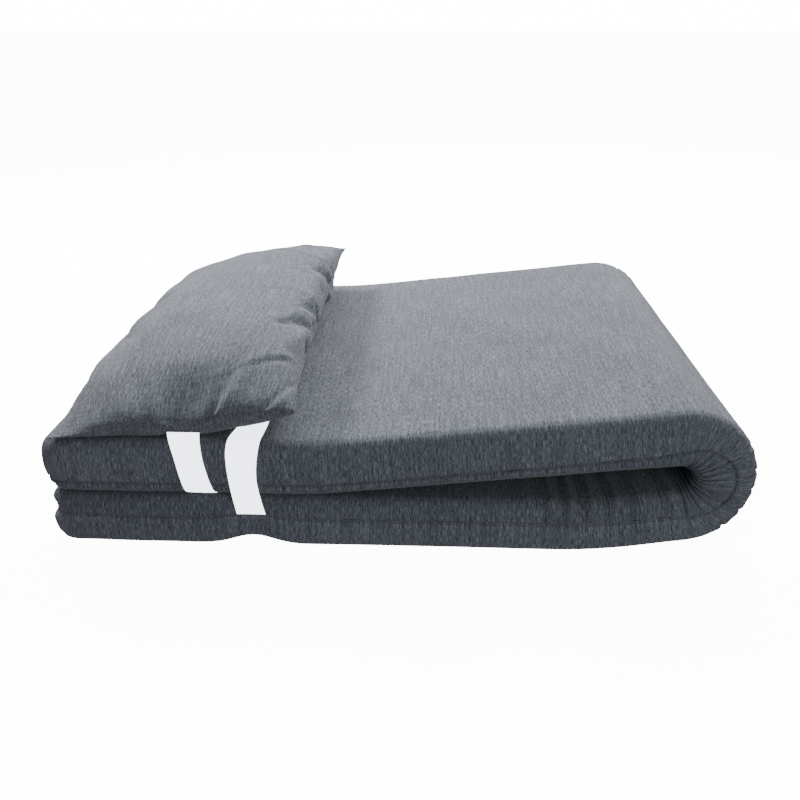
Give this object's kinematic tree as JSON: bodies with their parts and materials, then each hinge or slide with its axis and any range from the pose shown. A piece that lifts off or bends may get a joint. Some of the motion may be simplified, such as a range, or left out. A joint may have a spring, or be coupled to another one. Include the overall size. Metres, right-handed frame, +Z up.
{
  "type": "futon mattress",
  "caption": "Foam mattress with a soft fabric cover, folded in half and held by an elastic strap, with a pillow strapped on its free end; it opens out flat.",
  "frame": {"origin": "middle of the folded mattress's footprint, on the surface it rests on", "axes": "+X along the folded mattress from the free ends to the fold, -Y the front side, +Z up"},
  "size_m": [0.9464, 0.7032, 0.2604],
  "materials": {
    "foam": "matt open-cell foam",
    "cover_outer": "blue-grey melange plain weave with slubs",
    "cover_inner": "blue-grey melange plain weave with slubs",
    "pillow_fill": "white fibre in a non-woven bag",
    "elastic": "white woven elastic, fine ribs",
    "zip_tape": "dark grey herringbone tape",
    "zip_teeth": "dark grey nylon coil",
    "zip_metal": "satin nickel plate"
  },
  "bodies": {
    "head": {"foam_head": "foam", "cover_outer_head": "cover_outer", "cover_inner_head": "cover_inner"},
    "rise": {"foam_rise": "foam", "cover_outer_rise": "cover_outer", "cover_inner_rise": "cover_inner"},
    "bend_5": {"foam_bend_5": "foam", "cover_outer_bend_5": "cover_outer", "cover_inner_bend_5": "cover_inner"},
    "bend_4": {"foam_bend_4": "foam", "cover_outer_bend_4": "cover_outer", "cover_inner_bend_4": "cover_inner"},
    "bend_3": {"foam_bend_3": "foam", "cover_outer_bend_3": "cover_outer", "cover_inner_bend_3": "cover_inner"},
    "bend_2": {"foam_bend_2": "foam", "cover_outer_bend_2": "cover_outer", "cover_inner_bend_2": "cover_inner"},
    "bend_1": {"foam_bend_1": "foam", "cover_outer_bend_1": "cover_outer", "cover_inner_bend_1": "cover_inner"},
    "lift": {"foam_lift": "foam", "cover_outer_lift": "cover_outer", "cover_inner_lift": "cover_inner"},
    "lower": {"foam_lower": "foam", "cover_outer_lower": "cover_outer", "cover_inner_lower": "cover_inner", "bundle_strap": "elastic", "zip_tape_upper": "zip_tape", "zip_tape_lower": "zip_tape", "zip_teeth": "zip_teeth", "zip_stops": "zip_metal"},
    "pillow": {"pillow_cover_top": "cover_outer", "pillow_cover_bottom": "cover_inner", "pillow_fill": "pillow_fill", "pillow_strap": "elastic"},
    "zip_slider": {"zip_slider": "zip_metal"},
    "zip_pull": {"zip_pull": "zip_metal"}
  },
  "joints": [
    {"name": "rise_level", "type": "hinge", "parent": "head", "child": "rise", "pos_m": [-0.10101, 0, 0.0804], "axis": [0, 1, 0], "range_deg": [0, 6.5]},
    {"name": "unfold", "type": "hinge", "parent": "rise", "child": "lower", "pos_m": [0.53655, 0, 0.1154], "axis": [0, -1, 0], "range_deg": [0, 186.5], "deforming": ["bundle_strap"]},
    {"name": "fold_5", "type": "hinge", "parent": "rise", "child": "bend_5", "pos_m": [0.3923, 0, 0.21511], "axis": [0, -1, 0], "range_deg": [0, 35.3]},
    {"name": "fold_4", "type": "hinge", "parent": "bend_5", "child": "bend_4", "pos_m": [0.44632, 0, 0.18542], "axis": [0, -1, 0], "range_deg": [0, 35.3]},
    {"name": "fold_3", "type": "hinge", "parent": "bend_4", "child": "bend_3", "pos_m": [0.47324, 0, 0.12997], "axis": [0, -1, 0], "range_deg": [0, 35.3]},
    {"name": "lift_level", "type": "hinge", "parent": "lower", "child": "lift", "pos_m": [0.27603, 0, 0], "axis": [0, 1, 0], "range_deg": [0, 10]},
    {"name": "fold_1", "type": "hinge", "parent": "lift", "child": "bend_1", "pos_m": [0.41982, 0, 0.02535], "axis": [0, 1, 0], "range_deg": [0, 35.3]},
    {"name": "fold_2", "type": "hinge", "parent": "bend_1", "child": "bend_2", "pos_m": [0.46317, 0, 0.06916], "axis": [0, 1, 0], "range_deg": [0, 35.3]},
    {"name": "pillow_slide", "type": "slide", "parent": "head", "child": "pillow", "axis": [-1, 0, 0], "range_m": [0, 0.36]},
    {"name": "zip_slide", "type": "slide", "parent": "lower", "child": "zip_slider", "axis": [0, 1, 0], "range_m": [0, 0.579]},
    {"name": "zip_pull_turn", "type": "hinge", "parent": "zip_slider", "child": "zip_pull", "pos_m": [-0.47104, -0.2896, 0.05], "axis": [0, 0, 1], "range_deg": [0, 170]}
  ],
  "couplings": [
    {"joint": "fold_5", "follows": "unfold", "ratio": 0.18928},
    {"joint": "fold_4", "follows": "unfold", "ratio": 0.18928},
    {"joint": "fold_3", "follows": "unfold", "ratio": 0.18928},
    {"joint": "fold_1", "follows": "unfold", "ratio": 0.18928},
    {"joint": "fold_2", "follows": "unfold", "ratio": 0.18928},
    {"joint": "lift_level", "follows": "unfold", "ratio": 0.053619},
    {"joint": "rise_level", "follows": "unfold", "ratio": 0.034852}
  ]
}
